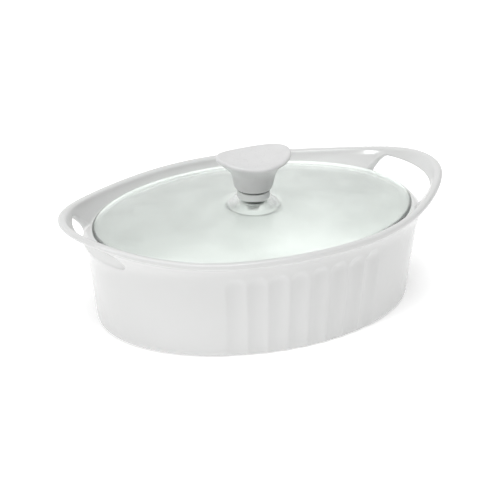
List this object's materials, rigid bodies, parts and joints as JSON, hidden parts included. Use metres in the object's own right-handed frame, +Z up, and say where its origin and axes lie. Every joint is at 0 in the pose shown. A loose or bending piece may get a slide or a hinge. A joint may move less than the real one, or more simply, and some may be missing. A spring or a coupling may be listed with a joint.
{
  "type": "covered casserole dish",
  "caption": "Oval stoneware casserole with flared loop handles and fluted sides, and a glass lid with a saddle-shaped knob that lifts straight off.",
  "frame": {"origin": "centre of the overall box's underside, on the plane the foot stands on", "axes": "+X along the dish's long axis through both handles, +Y across it, +Z up, the way the lid lifts"},
  "size_m": [0.3268, 0.2124, 0.1292],
  "materials": {
    "glaze": "glossy white glaze",
    "lid_glass": "clear, faintly green",
    "knob_plastic": "satin white",
    "insert_brass": "machined",
    "ferrule_rubber": "matt black",
    "collar_plastic": "frosted",
    "gasket_rubber": "translucent silicone",
    "screw_steel": "stainless"
  },
  "bodies": {
    "dish": {"dish": "glaze"},
    "lid": {"lid_glass": "lid_glass", "knob": "knob_plastic", "knob_insert": "insert_brass", "knob_ferrule": "ferrule_rubber", "knob_collar": "collar_plastic", "lid_gasket": "gasket_rubber", "screw_washer": "screw_steel", "knob_screw": "screw_steel"}
  },
  "joints": [
    {"name": "lid_lift", "type": "slide", "parent": "dish", "child": "lid", "axis": [0, 0, 1], "range_m": [0, 0.13]}
  ]
}
